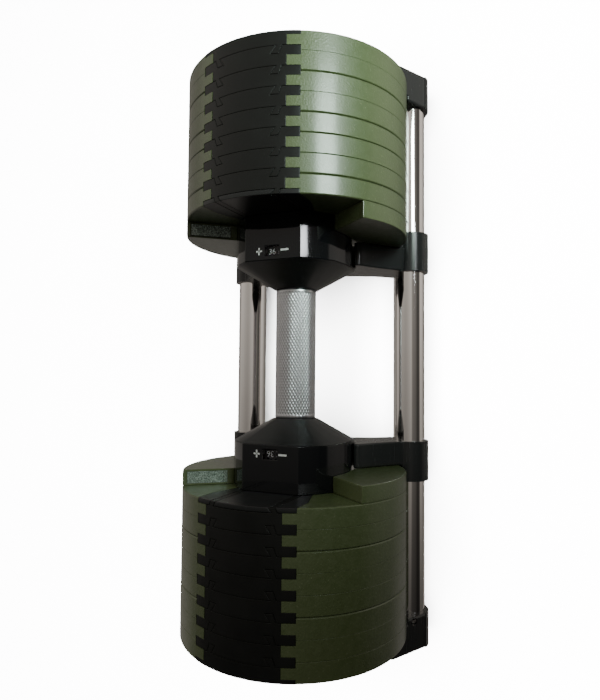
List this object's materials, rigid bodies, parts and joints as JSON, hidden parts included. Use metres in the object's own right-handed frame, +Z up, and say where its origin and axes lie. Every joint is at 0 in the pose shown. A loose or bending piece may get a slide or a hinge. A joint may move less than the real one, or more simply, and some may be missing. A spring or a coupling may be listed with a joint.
{
  "type": "adjustable dumbbell",
  "caption": "Adjustable dumbbell docked in a low tube cradle: twist grip, telescoping bars, round interlocking plates and black hubs with a number window.",
  "frame": {"origin": "on the floor under the middle of the dumbbell, centred on the cradle", "axes": "+X along the dumbbell, -Y the front, +Z up"},
  "size_m": [0.4764, 0.1846, 0.1823],
  "materials": {
    "green_paint": "semi-gloss olive green paint with fine orange peel over cast metal",
    "black_satin": "satin black",
    "black_hub": "glossy black",
    "black_bracket": "glossy black moulded plastic",
    "knurled_steel": "satin steel with diamond knurling",
    "chrome_tube": "polished chrome",
    "chrome_screw": "polished chrome",
    "machined_steel": "turned and ground steel",
    "spring_steel": "drawn wire",
    "screw_steel": "zinc plated",
    "bronze": "sintered bronze",
    "dial_black": "satin black with white numbers",
    "clear_window": "clear acrylic",
    "label_silver": "blank cast panel with a stippled surface",
    "rubber_foot": "matt black rubber"
  },
  "bodies": {
    "cradle": {"end_bracket_left": "black_bracket", "end_bracket_right": "black_bracket", "yoke_left": "black_bracket", "yoke_right": "black_bracket", "tube_front": "chrome_tube", "tube_back": "chrome_tube", "clamp_screws": "chrome_screw", "rubber_feet": "rubber_foot", "release_posts": "machined_steel"},
    "dumbbell": {"plate_left_1": "green_paint", "plate_left_2": "green_paint", "plate_left_3": "green_paint", "plate_left_4": "green_paint", "plate_left_5": "green_paint", "plate_left_6": "green_paint", "plate_left_7": "green_paint", "plate_left_8": "green_paint", "plate_right_1": "green_paint", "plate_right_2": "green_paint", "plate_right_3": "green_paint", "plate_right_4": "green_paint", "plate_right_5": "green_paint", "plate_right_6": "green_paint", "plate_right_7": "green_paint", "plate_right_8": "green_paint", "interlocks_left": "black_satin", "interlocks_right": "black_satin", "inner_weights_left": "green_paint", "inner_weights_right": "green_paint", "hub_housing_left": "black_hub", "hub_housing_right": "black_hub", "hub_cone_left": "black_hub", "hub_cone_right": "black_hub", "hub_flange_left": "black_hub", "hub_flange_right": "black_hub", "bushing_left": "bronze", "bushing_right": "bronze", "guide_plate_left": "machined_steel", "guide_plate_right": "machined_steel", "interlock_screws": "screw_steel", "flange_screws": "screw_steel", "weight_screws": "screw_steel", "label_panels": "label_silver", "dial_windows": "clear_window"},
    "grip": {"grip_sleeve": "knurled_steel", "drive_tube": "machined_steel", "dial_left": "dial_black", "dial_right": "dial_black", "index_wheel_left": "machined_steel", "index_wheel_right": "machined_steel"},
    "bar_left": {"shaft_left": "machined_steel", "follower_pin_left": "machined_steel"},
    "bar_right": {"shaft_right": "machined_steel", "follower_pin_right": "machined_steel"},
    "lock_left": {"lock_pin_left": "machined_steel", "lock_spring_left": "spring_steel"},
    "lock_right": {"lock_pin_right": "machined_steel", "lock_spring_right": "spring_steel"}
  },
  "joints": [
    {"name": "dumbbell_lift", "type": "slide", "parent": "cradle", "child": "dumbbell", "axis": [0, 0, 1], "range_m": [0, 0.2]},
    {"name": "grip_turn", "type": "hinge", "parent": "dumbbell", "child": "grip", "pos_m": [0, 0, 0.095], "axis": [1, 0, 0], "range_deg": [0, 320]},
    {"name": "bar_right_slide", "type": "slide", "parent": "dumbbell", "child": "bar_right", "axis": [1, 0, 0], "range_m": [-0.1115, 0.0003]},
    {"name": "bar_left_slide", "type": "slide", "parent": "dumbbell", "child": "bar_left", "axis": [1, 0, 0], "range_m": [-0.0003, 0.1115]},
    {"name": "lock_left_slide", "type": "slide", "parent": "dumbbell", "child": "lock_left", "axis": [0, 0, 1], "range_m": [-0.004, 0], "deforming": ["lock_spring_left"]},
    {"name": "lock_right_slide", "type": "slide", "parent": "dumbbell", "child": "lock_right", "axis": [0, 0, 1], "range_m": [-0.004, 0], "deforming": ["lock_spring_right"]}
  ],
  "couplings": [
    {"joint": "bar_right_slide", "follows": "grip_turn", "m_per_rad": -0.01991},
    {"joint": "bar_left_slide", "follows": "grip_turn", "m_per_rad": 0.01991},
    {"joint": "lock_left_slide", "follows": "dumbbell_lift", "ratio": -0.0199},
    {"joint": "lock_right_slide", "follows": "dumbbell_lift", "ratio": -0.0199}
  ]
}
